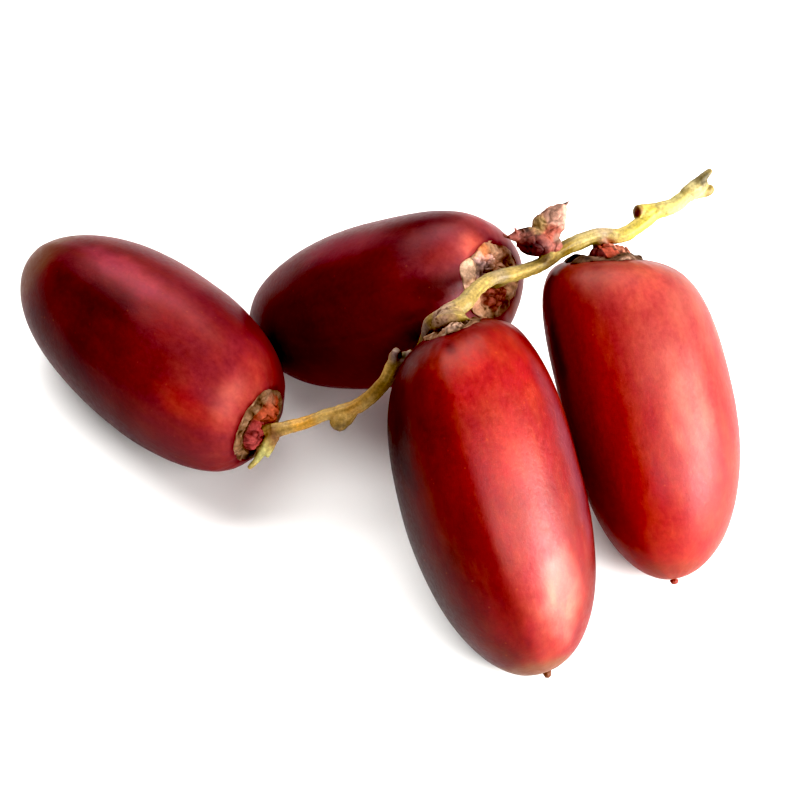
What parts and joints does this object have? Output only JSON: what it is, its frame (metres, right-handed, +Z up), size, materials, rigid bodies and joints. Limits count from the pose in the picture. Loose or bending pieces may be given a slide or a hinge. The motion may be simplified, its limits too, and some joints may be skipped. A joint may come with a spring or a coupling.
{
  "type": "zaghloul dates on a strand",
  "caption": "Spray of firm red zaghloul dates on their zigzag fruiting strand, laid down as picked.",
  "frame": {"origin": "on the table, under the middle of the whole outline", "axes": "+X from the flat-lying date towards the strand's free end, +Y away from the viewer of the picture, +Z up"},
  "size_m": [0.1206, 0.0828, 0.0475],
  "materials": {
    "skin_maroon": "satin",
    "skin_red": "satin",
    "cap": "matte",
    "barren_cap": "matte",
    "strand": "satin"
  },
  "bodies": {
    "root": {"date_left": "skin_maroon", "date_back": "skin_maroon", "date_front": "skin_red", "date_right": "skin_red", "cap_left": "cap", "cap_back": "cap", "cap_front": "cap", "cap_right": "cap", "barren_cap": "barren_cap", "strand": "strand"}
  },
  "joints": []
}
